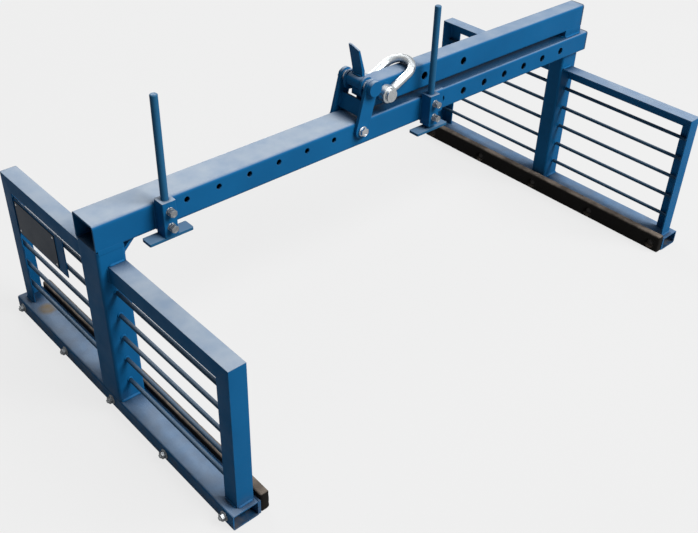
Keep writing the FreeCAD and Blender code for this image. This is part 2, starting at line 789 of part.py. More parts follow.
# Depth stops: a rod with a foot plate in a guide sleeve on the carrier, held by two clamp screws
def make_stop(side, along, drop):
    x = f"{along} - {mid_x}"
    sleeve = new_body(f"{side}_stop_sleeve")
    sketch = new_sketch(sleeve, "XY_Plane")
    rounded_box(sketch, "sleeve_size", "sleeve_size", "sleeve_corner")
    circle(sketch, "0", "0", "stop_rod_dia/2 + stop_clearance")
    pad(sleeve, sketch, "sleeve_height")
    for height in ("clamp_lower", "clamp_lower + clamp_spacing"):
        tapping = new_sketch(sleeve, "XZ_Plane")
        circle(tapping, "0", height, "clamp_dia/2 + thread_clearance")
        pocket(sleeve, tapping, back=True)
    keep(place(sleeve, x, stop_y, sleeve_bottom))

    radius, length, bevel = "stop_rod_dia/2", "stop_rod_length", "stop_rod_chamfer"
    rod = turned(f"{side}_stop_rod", [
        ("0", "0"), (radius, "0"), (radius, f"{length} - {bevel}"),
        (f"{radius} - {bevel}", length), ("0", length),
    ])
    keep(place(rod, x, stop_y, f"{foot_top} - {drop}"))

    foot = new_body(f"{side}_stop_foot")
    sketch = new_sketch(foot, "XY_Plane")
    rounded_box(sketch, "foot_length", "foot_width", "foot_corner")
    pad(foot, sketch, "foot_thick")
    keep(place(foot, x, stop_y, f"{foot_top} - foot_thick - {drop}"))

    face = f"({stop_y} - sleeve_size/2)"
    seat = f"({face} - clamp_nut_thick - clamp_stand)"
    tip = f"({stop_y} - stop_rod_dia/2 - clamp_tip_gap)"
    nuts = []
    for level, rise in (("lower", "clamp_lower"), ("upper", "clamp_lower + clamp_spacing")):
        z = f"{sleeve_bottom} + {rise}"
        nut = hex_nut("Nut", "clamp_head_across", "clamp_nut_thick", "clamp_dia + 2*thread_clearance")
        nuts.append(place(nut, x, f"{face} - clamp_nut_thick", z, (1, 0, 0), -90))
        screw = hex_screw(
            f"{side}_clamp_screw_{level}", "clamp_head_across", "clamp_head_thick", "clamp_dia",
            f"{tip} - {seat}",
        )
        keep(place(screw, x, seat, z, (1, 0, 0), -90))
    keep(group(f"{side}_clamp_nuts", nuts))


make_stop("left", "stop_left_inset", "0")
make_stop("right", "carrier_length - stop_right_inset", "stop_right_drop")

# Bare sign plate on a sheet that is welded to the guard rods of the left frame
sheet_outer = "(rod_offset - rod_dia/2 - weld_gap - backing_sheet_thick)"
sign_start = f"({end_face} - rail_height - sign_end_gap - sign_length)"
backing_sheet = block(
    "sign_backing", "backing_sheet_thick", "sign_length + sign_margin + sign_extra",
    "sign_height + 2*sign_margin",
)
keep(place(
    backing_sheet, f"{sheet_outer} - {mid_x}", f"{sign_start} - sign_extra",
    "sign_top - sign_height - sign_margin",
))
sign = block("sign_plate", "sign_thick", "sign_length", "sign_height")
keep(place(sign, f"{sheet_outer} - sign_thick - {mid_x}", sign_start, "sign_top - sign_height"))

doc.recompute()

faults = [thing.Label for thing in doc.Objects if "Invalid" in thing.State or "Error" in thing.State]
if faults:
    raise RuntimeError(f"objects failed: {faults}")
for node in nodes:
    if node.Shape.isNull() or not node.Shape.isValid():
        raise RuntimeError(f"{node.Label} has no valid shape")

os.makedirs("parts", exist_ok=True)
for node in nodes:
    node.Shape.exportStep(os.path.join("parts", f"{node.Label}.step"))
print(len(nodes), "pieces written")
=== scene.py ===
import bmesh
import bpy
import json
import math
from mathutils import Matrix, Vector, noise


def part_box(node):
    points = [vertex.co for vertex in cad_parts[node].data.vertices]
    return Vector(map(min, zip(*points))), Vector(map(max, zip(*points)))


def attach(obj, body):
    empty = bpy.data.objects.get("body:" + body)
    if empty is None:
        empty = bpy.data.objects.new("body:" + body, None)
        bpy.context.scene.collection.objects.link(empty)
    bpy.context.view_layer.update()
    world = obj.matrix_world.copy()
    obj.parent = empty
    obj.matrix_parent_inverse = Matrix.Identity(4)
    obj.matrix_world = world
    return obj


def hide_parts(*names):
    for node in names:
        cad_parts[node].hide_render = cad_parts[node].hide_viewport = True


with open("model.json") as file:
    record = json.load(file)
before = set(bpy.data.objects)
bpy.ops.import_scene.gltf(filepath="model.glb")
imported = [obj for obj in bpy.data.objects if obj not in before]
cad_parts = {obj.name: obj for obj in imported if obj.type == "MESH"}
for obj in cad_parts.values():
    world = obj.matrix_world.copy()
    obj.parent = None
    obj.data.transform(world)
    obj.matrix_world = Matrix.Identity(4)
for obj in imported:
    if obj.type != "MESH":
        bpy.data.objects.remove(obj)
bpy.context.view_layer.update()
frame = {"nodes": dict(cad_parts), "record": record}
nodes = frame["nodes"]
behaviour = frame["record"]["behaviour"]
mm = 0.001
print("frame loaded:", len(nodes), "nodes")


# Colours and nodes
def hexColour(code):  # sRGB hex to linear
    channels = [int(code[i:i + 2], 16) / 255 for i in (1, 3, 5)]
    return [c / 12.92 if c <= 0.04045 else ((c + 0.055) / 1.055) ** 2.4 for c in channels] + [1.0]


def addNode(tree, kind, inputs, out=0, **settings):  # adds a shader node, sets it up and gives one output
    made = tree.nodes.new("ShaderNode" + kind)
    for name, value in settings.items():
        setattr(made, name, value)
    for socket, value in inputs.items():
        if isinstance(value, bpy.types.NodeSocket):
            tree.links.new(value, made.inputs[socket])
        else:
            made.inputs[socket].default_value = value
    return made.outputs[out] if made.outputs else made


tints = {"out": 2, "data_type": "RGBA"}  # settings of a node that mixes two colours


def newMaterial(name):
    material = bpy.data.materials.new(name)
    material.use_nodes = True
    material.node_tree.nodes.clear()
    return material, material.node_tree


def perMetre(sizeMm):  # a pattern's scale from the real size of its features
    return 1 / (sizeMm * mm)


# Alkyd enamel sprayed on steel section. To the eye: a deep semi-gloss blue with faint clouds, a soft
# orange peel in the gloss, pale chalking together with a painted sheen of light from above where it faces
# the sky, painted shade on tops that lie under something, and corners rubbed towards the primer.
enamel = {
    "blue": "#126194", "deep": "#0E507E", "chalkAndSheen": "#A8B0B8", "primer": "#5F7486", "grime": "#5E564C",
    "cloudMm": 140, "chalkAndSheenMm": 60, "rubMm": 22,
    "peelMm": 9, "peelDepthMm": 0.4,  # the real peel is about 2 mm wide, too fine to show
    "chalkAndSheenAmount": 0.78, "cornerMm": 2.2, "rubAmount": 0.55, "roughLow": 0.42, "roughHigh": 0.58,
    "grimeTop": 0.09, "grimeAmount": 0.5, "grimeMm": 38,  # kicked up as high as this, in metres
    "occlusionMm": 90,  # the occlusion looks this far: what is closed in gets no chalk or painted sheen, and painted shade on top
    "paintedShade": "#0A1B2C", "paintedShadeAmount": 0.75,  # painted shade: darker on tops that lie under something
    "rust": "#3F3A38", "rustAmount": 0.0, "rustMm": 11, "endX": 0.0,  # rust creeps this far from a cut end
    "spot": "#75664C", "spotAt": None, "spotMm": 34,  # a splash of dried mud
}
# the film runs thick over a bead, so a bead gets no chalk and no painted sheen; the sliding arm gets
# less chalk and less painted top sheen; the stops are worn dull and get no painted shade on top; and
# the guard rods are handled and grey
paintedWeld = dict(enamel, rubAmount=0.0, chalkAndSheenAmount=0.0, paintedShadeAmount=0.2)
paintedSliding = dict(enamel, chalkAndSheenAmount=0.6)
paintedStop = dict(enamel, blue="#28628A", deep="#205274", chalkAndSheenAmount=0.26, paintedShadeAmount=0.0, occlusionMm=12)
paintedRod = dict(enamel, blue="#27506F", deep="#1F4059", chalkAndSheen="#8E9092", chalkAndSheenAmount=0.5)


def addStains(tree, s, place, scuff, splash, colour):  # rust at a cut end, and a splash of mud
    if s["rustAmount"]:
        along = addNode(tree, "SeparateXYZ", {"Vector": place})
        creep = addNode(tree, "MapRange", {"Value": along, 1: s["endX"] - s["rustMm"] * mm, 2: s["endX"],
                                           3: 0.0, 4: s["rustAmount"]})
        stain = addNode(tree, "MapRange", {"Value": scuff, 1: 0.35, 2: 0.6, 3: 0.5, 4: 1.0})
        eaten = addNode(tree, "Math", {0: creep, 1: stain}, operation="MULTIPLY")
        colour = addNode(tree, "Mix", {0: eaten, 6: colour, 7: hexColour(s["rust"])}, **tints)
    if s["spotAt"]:
        away = addNode(tree, "VectorMath", {0: place, 1: s["spotAt"]}, out=1, operation="DISTANCE")
        wide = s["spotMm"] * mm
        near = addNode(tree, "MapRange", {"Value": away, 1: wide, 2: wide / 2, 3: 0.0, 4: 1.0})
        crust = addNode(tree, "MapRange", {"Value": splash, 1: 0.35, 2: 0.6, 3: 0.55, 4: 0.95})
        mud = addNode(tree, "Math", {0: near, 1: crust}, operation="MULTIPLY")
        colour = addNode(tree, "Mix", {0: mud, 6: colour, 7: hexColour(s["spot"])}, **tints)
    return colour


def makeEnamel(name, s):
    material, tree = newMaterial(name)
    place = addNode(tree, "TexCoord", {}, out=3)
    facing = addNode(tree, "TexCoord", {}, out=1)
    cloud = addNode(tree, "TexNoise", {"Vector": place, "Scale": perMetre(s["cloudMm"]), "Detail": 4.0})
    paint = addNode(tree, "Mix", {0: cloud, 6: hexColour(s["deep"]), 7: hexColour(s["blue"])}, **tints)
    # chalk and a painted sheen of light from above on what faces up and lies open, more of it higher up,
    # so none inside the tubes or under an overhang, where its absence reads as painted shade
    upward = addNode(tree, "SeparateXYZ", {"Vector": facing}, out=2)
    patch = addNode(tree, "TexNoise", {"Vector": place, "Scale": perMetre(s["chalkAndSheenMm"]), "Detail": 6.0})
    level = addNode(tree, "MapRange", {"Value": upward, 1: 0.55, 2: 0.98, 3: 0.0, 4: s["chalkAndSheenAmount"]})
    streak = addNode(tree, "MapRange", {"Value": patch, 1: 0.3, 2: 0.7, 3: 0.7, 4: 1.0})
    sheltered = addNode(tree, "AmbientOcclusion", {"Distance": s["occlusionMm"] * mm}, out=1, samples=8)
    unoccluded = addNode(tree, "MapRange", {"Value": sheltered, 1: 0.5, 2: 0.85, 3: 0.0, 4: 1.0})
    height = addNode(tree, "SeparateXYZ", {"Vector": place}, out=2)
    raised = addNode(tree, "MapRange", {"Value": height, 1: 0.05, 2: 0.5, 3: 0.62, 4: 1.0})
    bleachAndSheen = addNode(tree, "Math", {0: level, 1: streak}, operation="MULTIPLY")
    sun = addNode(tree, "Math", {0: unoccluded, 1: raised}, operation="MULTIPLY")
    chalkAndSheen = addNode(tree, "Math", {0: bleachAndSheen, 1: sun}, operation="MULTIPLY")
    withChalkAndSheen = addNode(tree, "Mix", {0: chalkAndSheen, 6: paint, 7: hexColour(s["chalkAndSheen"])}, **tints)
    # painted shade: the colour darkened on up-facing faces that the occlusion finds closed in, as under the
    # draw bar
    shade = addNode(tree, "Math", {0: 1.0, 1: unoccluded}, operation="SUBTRACT")
    ledge = addNode(tree, "MapRange", {"Value": upward, 1: 0.55, 2: 0.98, 3: 0.0, 4: s["paintedShadeAmount"]})
    paintedShadeMask = addNode(tree, "Math", {0: shade, 1: ledge}, operation="MULTIPLY")
    withPaintedShade = addNode(tree, "Mix", {0: paintedShadeMask, 6: withChalkAndSheen, 7: hexColour(s["paintedShade"])}, **tints)
    # mud thrown up from the ground
    low = addNode(tree, "MapRange", {"Value": height, 1: 0.0, 2: s["grimeTop"],
                                     3: s["grimeAmount"], 4: 0.0})
    splash = addNode(tree, "TexNoise", {"Vector": place, "Scale": perMetre(s["grimeMm"]), "Detail": 7.0})
    blot = addNode(tree, "MapRange", {"Value": splash, 1: 0.42, 2: 0.66, 3: 0.05, 4: 1.0})
    grimy = addNode(tree, "Math", {0: low, 1: blot}, operation="MULTIPLY")
    soil = addNode(tree, "Mix", {0: grimy, 6: withPaintedShade, 7: hexColour(s["grime"])}, **tints)
    # corners where the film is thin
    rounded = addNode(tree, "Bevel", {"Radius": s["cornerMm"] * mm}, samples=4)
    straight = addNode(tree, "NewGeometry", {}, out=1)
    turn = addNode(tree, "VectorMath", {0: rounded, 1: straight}, out=1, operation="DOT_PRODUCT")
    corner = addNode(tree, "MapRange", {"Value": turn, 1: 0.995, 2: 0.9, 3: 0.0, 4: 1.0})
    scuff = addNode(tree, "TexNoise", {"Vector": place, "Scale": perMetre(s["rubMm"]), "Detail": 8.0})
    bitten = addNode(tree, "MapRange", {"Value": scuff, 1: 0.45, 2: 0.68, 3: 0.0, 4: s["rubAmount"]})
    rub = addNode(tree, "Math", {0: corner, 1: bitten}, operation="MULTIPLY")
    colour = addNode(tree, "Mix", {0: rub, 6: soil, 7: hexColour(s["primer"])}, **tints)
    colour = addStains(tree, s, place, scuff, splash, colour)
    rough = addNode(tree, "MapRange", {"Value": patch, 1: 0.3, 2: 0.7, 3: s["roughLow"], 4: s["roughHigh"]})
    peel = addNode(tree, "TexNoise", {"Vector": place, "Scale": perMetre(s["peelMm"]), "Detail": 2.0})
    relief = addNode(tree, "Bump", {"Strength": 0.06, "Distance": s["peelDepthMm"] * mm,
                                    "Height": peel, "Normal": rounded})
    shader = addNode(tree, "BsdfPrincipled", {"Base Color": colour, "Roughness": rough, "Normal": relief,
                                              "IOR": 1.5, "Specular IOR Level": 0.06})
    addNode(tree, "OutputMaterial", {"Surface": shader})
    return material


# Hot-dip galvanised steel. To the eye: a pale satin metal with a spangle of flat crystals in two or
# three greys, and a whitish bloom.
galvanised = {"bright": "#D6DADC", "dull": "#AEB4B8", "spangleMm": 11, "bloomMm": 35, "rough": (0.30, 0.52),
              "metallic": 1.0}
# Bright zinc plating on turned and forged steel. To the eye: a smooth cool silver, a little milky.
plated = {"bright": "#DADDDF", "dull": "#B4B8BA", "spangleMm": 3, "bloomMm": 14, "rough": (0.22, 0.40),
          "metallic": 1.0}
# Zinc plating gone grey with salt and rain. To the eye: a flat mid grey with little shine.
weathered = {"bright": "#A4A8AB", "dull": "#74797D", "spangleMm": 4, "bloomMm": 9, "rough": (0.42, 0.6),
             "metallic": 1.0}
# Zinc-plated bolt heads down in the pads, caked with rubber dust. To the eye: brown-black, with little
# metal left.
soiled = {"bright": "#2B2724", "dull": "#161311", "spangleMm": 7, "bloomMm": 6, "rough": (0.55, 0.75),
          "metallic": 0.3}
bloomDepthMm = 0.3  # relief of the bloom, on all four


def makeZinc(name, s):
    material, tree = newMaterial(name)
    place = addNode(tree, "TexCoord", {}, out=3)
    crystal = addNode(tree, "TexVoronoi", {"Vector": place, "Scale": perMetre(s["spangleMm"])}, out=1)
    shade = addNode(tree, "SeparateXYZ", {"Vector": crystal})
    bloom = addNode(tree, "TexNoise", {"Vector": place, "Scale": perMetre(s["bloomMm"]), "Detail": 5.0})
    blend = addNode(tree, "Math", {0: shade, 1: bloom}, operation="MULTIPLY")
    colour = addNode(tree, "Mix", {0: blend, 6: hexColour(s["bright"]), 7: hexColour(s["dull"])}, **tints)
    rough = addNode(tree, "MapRange", {"Value": shade, 3: s["rough"][0], 4: s["rough"][1]})
    relief = addNode(tree, "Bump", {"Strength": 0.08, "Distance": bloomDepthMm * mm, "Height": bloom})
    shader = addNode(tree, "BsdfPrincipled", {"Base Color": colour, "Roughness": rough, "Normal": relief,
                                              "Metallic": s["metallic"]})
    addNode(tree, "OutputMaterial", {"Surface": shader})
    return material


# Moulded rubber sheet with years of kerb dust. To the eye: a dead matt brown-black, with grey-brown
# dust in the grain and on the upper faces.
rubber = {"black": "#0B0A09", "dust": "#80756B", "grainMm": 5, "grainDepthMm": 0.5, "dustMm": 45,
          "dustLow": 0.4, "dustHigh": 0.95}


def makeRubber(name, s):
    material, tree = newMaterial(name)
    place = addNode(tree, "TexCoord", {}, out=3)
    facing = addNode(tree, "TexCoord", {}, out=1)
    upward = addNode(tree, "SeparateXYZ", {"Vector": facing}, out=2)
    patch = addNode(tree, "TexNoise", {"Vector": place, "Scale": perMetre(s["dustMm"]), "Detail": 8.0})
    top = addNode(tree, "MapRange", {"Value": upward, 1: 0.25, 2: 0.95, 3: 0.02, 4: 1.0})
    spread = addNode(tree, "MapRange", {"Value": patch, 1: 0.35, 2: 0.65,
                                        3: s["dustLow"], 4: s["dustHigh"]})
    amount = addNode(tree, "Math", {0: top, 1: spread}, operation="MULTIPLY")
    colour = addNode(tree, "Mix", {0: amount, 6: hexColour(s["black"]), 7: hexColour(s["dust"])}, **tints)
    grain = addNode(tree, "TexNoise", {"Vector": place, "Scale": perMetre(s["grainMm"]), "Detail": 6.0})
    relief = addNode(tree, "Bump", {"Strength": 0.25, "Distance": s["grainDepthMm"] * mm, "Height": grain})
    rough = addNode(tree, "MapRange", {"Value": patch, 3: 0.68, 4: 0.9})
    shader = addNode(tree, "BsdfPrincipled", {"Base Color": colour, "Roughness": rough, "Normal": relief,
                                              "IOR": 1.52, "Specular IOR Level": 0.12})
    addNode(tree, "OutputMaterial", {"Surface": shader})
    return material


# Stove enamel on aluminium sheet. To the eye: a smooth dark slate with a soft gloss and a few fine
# scratches.
signEnamel = {"slate": "#12283C", "worn": "#3A4857", "cloudMm": 90, "scratchMm": 16}
# Turned bronze. To the eye: warm dull gold with rings from the lathe, drawn far coarser than they are.
bronze = {"gold": "#B08A4A", "brown": "#7A5A2E", "ringMm": 7.54}


def makeSign(name, s):
    material, tree = newMaterial(name)
    place = addNode(tree, "TexCoord", {}, out=3)
    cloud = addNode(tree, "TexNoise", {"Vector": place, "Scale": perMetre(s["cloudMm"]), "Detail": 5.0})
    stretch = addNode(tree, "Mapping", {"Vector": place, "Scale": (1.0, 1.0, 7.0),
                                        "Rotation": (0.4, 0.0, 0.0)})
    lines = addNode(tree, "TexNoise", {"Vector": stretch, "Scale": perMetre(s["scratchMm"]),
                                       "Detail": 10.0})
    fine = addNode(tree, "MapRange", {"Value": lines, 1: 0.6, 2: 0.72, 3: 0.0, 4: 0.7})
    wear = addNode(tree, "Math", {0: fine, 1: cloud}, operation="MULTIPLY")
    colour = addNode(tree, "Mix", {0: wear, 6: hexColour(s["slate"]), 7: hexColour(s["worn"])}, **tints)
    rough = addNode(tree, "MapRange", {"Value": cloud, 3: 0.3, 4: 0.5})
    shader = addNode(tree, "BsdfPrincipled", {"Base Color": colour, "Roughness": rough, "IOR": 1.5,
                                              "Specular IOR Level": 0.15})
    addNode(tree, "OutputMaterial", {"Surface": shader})
    return material


def makeBronze(name, s):
    material, tree = newMaterial(name)
    place = addNode(tree, "TexCoord", {}, out=3)
    waves = 20 / (2 * math.pi)  # how often the wave node repeats in one unit
    rings = addNode(tree, "TexWave", {"Vector": place, "Scale": perMetre(s["ringMm"]) / waves,
                                      "Distortion": 1.5}, bands_direction="Y")
    colour = addNode(tree, "Mix", {0: rings, 6: hexColour(s["gold"]), 7: hexColour(s["brown"])}, **tints)
    shader = addNode(tree, "BsdfPrincipled", {"Base Color": colour, "Roughness": 0.38, "Metallic": 1.0})
    addNode(tree, "OutputMaterial", {"Surface": shader})
    return material


finishes = {
    "blue_paint": makeEnamel("blue_enamel_sprayed", enamel),
    "galvanised": makeZinc("steel_zinc_plated", plated),
    "pad_rubber": makeRubber("rubber_moulded", rubber),
    "sign_enamel": makeSign("sheet_stove_enamelled", signEnamel),
    "bush_bronze": makeBronze("bronze_turned", bronze),
}
beadFinish = makeEnamel("blue_enamel_over_weld", paintedWeld)
rodFinish = makeEnamel("blue_enamel_on_rod", paintedRod)
slidingFinish = makeEnamel("blue_enamel_sliding_arm", paintedSliding)
stopFinish = makeEnamel("blue_enamel_worn_dull", paintedStop)
endFinishes = {}  # the cut ends of these two have rusted
for node in ("draw_bar", "inner_tube"):
    worn = dict(paintedSliding, rustAmount=0.85, endX=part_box(node)[1].x)
    endFinishes[node] = makeEnamel(f"blue_enamel_rusted_{node}", worn)
spangled = makeZinc("steel_hot_dip_galvanised", galvanised)
greyed = makeZinc("steel_zinc_plated_weathered", weathered)
dirty = makeZinc("steel_zinc_plated_soiled", soiled)
mudSpot = {"inMm": 40, "fromEndMm": 118}  # from the base rail's outer edge and its far end
baseLow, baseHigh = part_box("left_base_rail")
spotAt = (baseLow.x + mudSpot["inMm"] * mm, baseHigh.y - mudSpot["fromEndMm"] * mm, baseHigh.z)
muddy = dict(enamel, spotAt=spotAt)
special = {"left_base_rail": makeEnamel("blue_enamel_mud_spotted", muddy), **endFinishes}
slidingNodes = behaviour["bodies"]["right_arm"]
for row in frame["record"]["subparts"]:
    slots = nodes[row["node"]].data.materials
    slots.clear()
    finish = finishes[row["material_slot"]]
    if row["material_slot"] == "blue_paint" and row["node"] in slidingNodes:
        finish = slidingFinish
    if row["node"].endswith(("guard_rods", "stop_rod", "stop_foot")):
        finish = rodFinish if "guard" in row["node"] else stopFinish
    slots.append(special.get(row["node"], finish))
print("materials:", len(bpy.data.materials))


# Mesh pieces
def newObject(name, data):
    made = bpy.data.objects.new(name, data)
    bpy.context.scene.collection.objects.link(made)
    return made


def addPiece(name, bm, material, body, replaced=()):
    mesh = bpy.data.meshes.new(name)
    bmesh.ops.recalc_face_normals(bm, faces=bm.faces)
    bm.to_mesh(mesh)
    bm.free()
    mesh.materials.append(material)
    piece = newObject(name, mesh)
    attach(piece, body)
    if replaced:
        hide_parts(*replaced)
    return piece


def shadeByAngle(piece, degrees):  # smooth, with creases where faces meet at more than the angle
    for face in piece.data.polygons:
        face.use_smooth = True
    piece.data.set_sharp_from_angle(angle=math.radians(degrees))


def solidBoxes(node):  # the box of each separate solid of a node, from the frame
    mesh = nodes[node].data
    keys, owner = {}, []
    for vertex in mesh.vertices:
        owner.append(keys.setdefault(tuple(round(c, 5) for c in vertex.co), len(keys)))
    parent = list(range(len(keys)))

    def root(i):
        while parent[i] != i:
            parent[i] = parent[parent[i]]
            i = parent[i]
        return i

    for face in mesh.polygons:
        first = root(owner[face.vertices[0]])
        for index in face.vertices[1:]:
            parent[root(owner[index])] = first
    groups = {}
    for vertex in mesh.vertices:
        groups.setdefault(root(owner[vertex.index]), []).append(vertex.co)
    boxes = []
    for points in groups.values():
        low = Vector([min(p[i] for p in points) for i in range(3)])
        high = Vector([max(p[i] for p in points) for i in range(3)])
        boxes.append((low, high))
    return sorted(boxes, key=lambda b: (round(b[0].y, 4), round(b[0].z, 4), b[0].x))


def axes(axis):  # an axis of unit length, and two directions square to it
    axis = Vector(axis).normalized()
    upright = abs(axis.z) > 0.9
    side = axis.orthogonal() if upright else Vector((0, 0, 1)).cross(axis)
    side.normalize()
    return axis, side, axis.cross(side)


def stackRings(bm, origin, axis, rings, segments, closed=False):
    # each ring is a function of the angle that gives a radius and a height, in mm, about the axis
    axis, side, other = axes(axis)
    made = []
    for ring in rings:
        points = []
        for k in range(segments):
            angle = 2 * math.pi * k / segments
            radius, height = ring(angle)
            if radius == 0 and points:
                break
            out = (side * math.cos(angle) + other * math.sin(angle)) * radius
            points.append(bm.verts.new(origin + (out + axis * height) * mm))
        made.append(points)
    pairs = list(zip(made, made[1:])) + ([(made[-1], made[0])] if closed else [])
    for low, high in pairs:
        for k in range(segments):
            corners = [low[k % len(low)], low[(k + 1) % len(low)]]
            corners += [high[(k + 1) % len(high)], high[k % len(high)]]
            unique = list(dict.fromkeys(corners))  # a ring of no radius is one point
            if len(unique) > 2:
                bm.faces.new(unique)


def steady(radius, height):
    return lambda angle: (radius, height)


def plainRod(bm, origin, axis, radius, length, segments):  # a cylinder with flat ends
    rings = [steady(0, 0), steady(radius, 0), steady(radius, length), steady(0, length)]
    stackRings(bm, origin, axis, rings, segments)


def hexRing(across, height, cone=None, lean=0.5):  # a ring round a hexagon, its corners cut by a cone
    def ring(angle):
        bend = (angle + math.pi / 6) % (math.pi / 3) - math.pi / 6
        radius = across / 2 / math.cos(bend)
        return radius, height if cone is None else height - lean * (radius - cone)
    return ring


# How heads, nuts, washers and threads are finished, in mm or as a share of the size beside it
hexForm = {"cone": 0.475, "foot": 0.4, "rim": 0.8, "dish": 0.76, "dishMm": 0.5, "leadMm": 0.8,
           "segments": 36, "crease": 35}
washerForm = {"burr": 0.3, "rollWide": 0.6, "rollHigh": 0.5, "segments": 32}
threadForm = {"depth": 0.45, "steps": 6, "crest": 0.9, "tip": 1.3, "segments": 24}
play = {"thread": 0.1, "washer": 0.3}  # round a shank, in mm


def hexHead(bm, origin, axis, across, height):  # head of a screw, chamfered and dished on its outer face
    f = hexForm
    cone, floor = across * f["cone"], height - f["dishMm"]
    rings = [steady(0, 0), steady(cone, 0), hexRing(across, f["foot"]), hexRing(across, height, cone),
             steady(cone, height), steady(cone * f["rim"], height), steady(cone * f["dish"], floor),
             steady(0, floor)]
    stackRings(bm, origin, axis, rings, f["segments"])


def hexNut(bm, origin, axis, across, height, bore):
    cone, lead = across * hexForm["cone"], hexForm["leadMm"]
    under, over = hexRing(across, 0.0, cone, lean=-0.5), hexRing(across, height, cone)
    rings = [steady(bore, lead), steady(bore + lead, 0), steady(cone, 0), under, over,
             steady(cone, height), steady(bore + lead, height), steady(bore, height - lead)]
    stackRings(bm, origin, axis, rings, hexForm["segments"], closed=True)


def washer(bm, origin, axis, inner, outer, thick):
    burr, wide, high = washerForm["burr"], washerForm["rollWide"], washerForm["rollHigh"]
    rings = [steady(inner, 0), steady(outer - burr, 0), steady(outer, burr), steady(outer, thick - high),
             steady(outer - wide, thick), steady(inner + burr, thick), steady(inner, thick - burr)]
    stackRings(bm, origin, axis, rings, washerForm["segments"], closed=True)


def threadedEnd(bm, origin, axis, radius, length, pitch):  # a screw's end with its helical thread
    f = threadForm
    depth, steps = pitch * f["depth"], f["steps"]
    rings = [steady(0, 0)]
    for i in range(int(length / pitch * steps) + 1):
        height = i * pitch / steps
        fade = min(1.0, (length - height) / pitch)

        def ring(angle, height=height, fade=fade):
            wave = (height / pitch - angle / (2 * math.pi)) % 1.0
            return radius - depth * abs(2 * wave - 1) * f["crest"] - (1 - fade) * depth, height
        rings.append(ring)
    rings.append(steady(radius - depth * f["tip"], length))
    rings.append(steady(0, length))
    stackRings(bm, origin, axis, rings, f["segments"])


# Weld beads: a convex fillet with the ripple of a hand-fed wire, painted over
bead = {"stepMm": 4.0, "fewest": 4, "rippleMm": 8.0, "rippleDepth": 0.16, "wander": 0.14, "wanderMm": 18.0,
        "ringWanderMm": 9.0, "points": 5, "fullness": 1.35, "sinkMm": 0.3, "endMm": 5.0, "endShare": 0.45,
        "insetMm": 3.0, "ringSegments": 20, "crease": 60}


def beadSize(leg, travelled, place):
    ripple = abs(math.sin(math.pi * travelled / bead["rippleMm"]))
    wander = noise.noise(place / (bead["wanderMm"] * mm))
    return leg * (1 - bead["rippleDepth"] * ripple + bead["wander"] * wander)


def beadSection(bm, corner, sideA, sideB, size):
    ring = [bm.verts.new(corner - (sideA + sideB) * bead["sinkMm"] * mm)]
    for k in range(bead["points"] + 1):
        angle = math.pi / 2 * k / bead["points"]
        reachA, reachB = math.cos(angle) ** bead["fullness"], math.sin(angle) ** bead["fullness"]
        ring.append(bm.verts.new(corner + (sideA * reachA + sideB * reachB) * size * mm))
    return ring


def skinRings(bm, rings, loop=False):
    pairs = list(zip(rings, rings[1:])) + ([(rings[-1], rings[0])] if loop else [])
    for low, high in pairs:
        for k in range(len(low)):
            nextK = (k + 1) % len(low)
            bm.faces.new((low[k], low[nextK], high[nextK], high[k]))
    if not loop:
        bm.faces.new(rings[0])
        bm.faces.new(list(reversed(rings[-1])))


def layBead(bm, start, end, sideA, sideB, leg):  # straight fillet in the corner between two faces
    start, end, sideA, sideB = Vector(start), Vector(end), Vector(sideA), Vector(sideB)
    length = (end - start).length / mm
    count = max(bead["fewest"], round(length / bead["stepMm"]))
    rings = []
    for i in range(count + 1):
        travelled = length * i / count
        place = start.lerp(end, i / count)
        taper = min(1.0, bead["endShare"] + min(travelled, length - travelled) / bead["endMm"])
        rings.append(beadSection(bm, place, sideA, sideB, beadSize(leg, travelled, place) * taper))
    skinRings(bm, rings)


groundSeam = {"camberMm": ((-8, -2), (-8, 0.03), (-4, 0.16), (0, 0.22), (4, 0.16), (8, 0.03), (8, -2)),
              "sections": 12}


def laySeam(bm, start, end, across, out):  # butt weld between flush faces, ground nearly level
    start, end, across, out = Vector(start), Vector(end), Vector(across), Vector(out)
    rings = []
    for i in range(groundSeam["sections"] + 1):
        place = start.lerp(end, i / groundSeam["sections"])
        rings.append([bm.verts.new(place + (across * a + out * h) * mm) for a, h in groundSeam["camberMm"]])
    skinRings(bm, rings)


def layRingBead(bm, centre, axis, radius, leg):  # fillet round a rod where it meets a face
    axis, side, other = axes(axis)
    rings = []
    for k in range(bead["ringSegments"]):
        angle = 2 * math.pi * k / bead["ringSegments"]
        out = side * math.cos(angle) + other * math.sin(angle)
        place = centre + out * radius * mm
        size = leg * (1 + bead["wander"] * noise.noise(place / (bead["ringWanderMm"] * mm)))
        rings.append(beadSection(bm, place, out, axis, size))
    skinRings(bm, rings, loop=True)


def boxBeads(bm, low, high, axis, level, leg, sides):
    # fillets where a tube's sides meet a face square to the axis: sides names the ones to run, such as -x
    up = Vector(axis)
    inset = bead["insetMm"] * mm
    for name in sides:
        index, sign = "xyz".index(name[1]), -1 if name[0] == "-" else 1
        across = next(i for i in range(3) if i != index and abs(up[i]) < 0.5)
        face = high[index] if sign > 0 else low[index]
        out = Vector([sign if i == index else 0 for i in range(3)])
        ends = []
        for value in (low[across] + inset, high[across] - inset):
            point = Vector(level)
            point[index] = face
            point[across] = value
            ends.append(point)
        layBead(bm, ends[0], ends[1], out, up, leg)


# Guard frames of rolled steel angle: a leg on top or at the end, and a leg down the outside
rolledAngle = {"legMm": 50, "thickMm": 5, "rootMm": 6, "toeMm": 3, "heelMm": 0.8, "arcSteps": 4,
               "crease": 30, "rodSegments": 24, "rodCrease": 40}


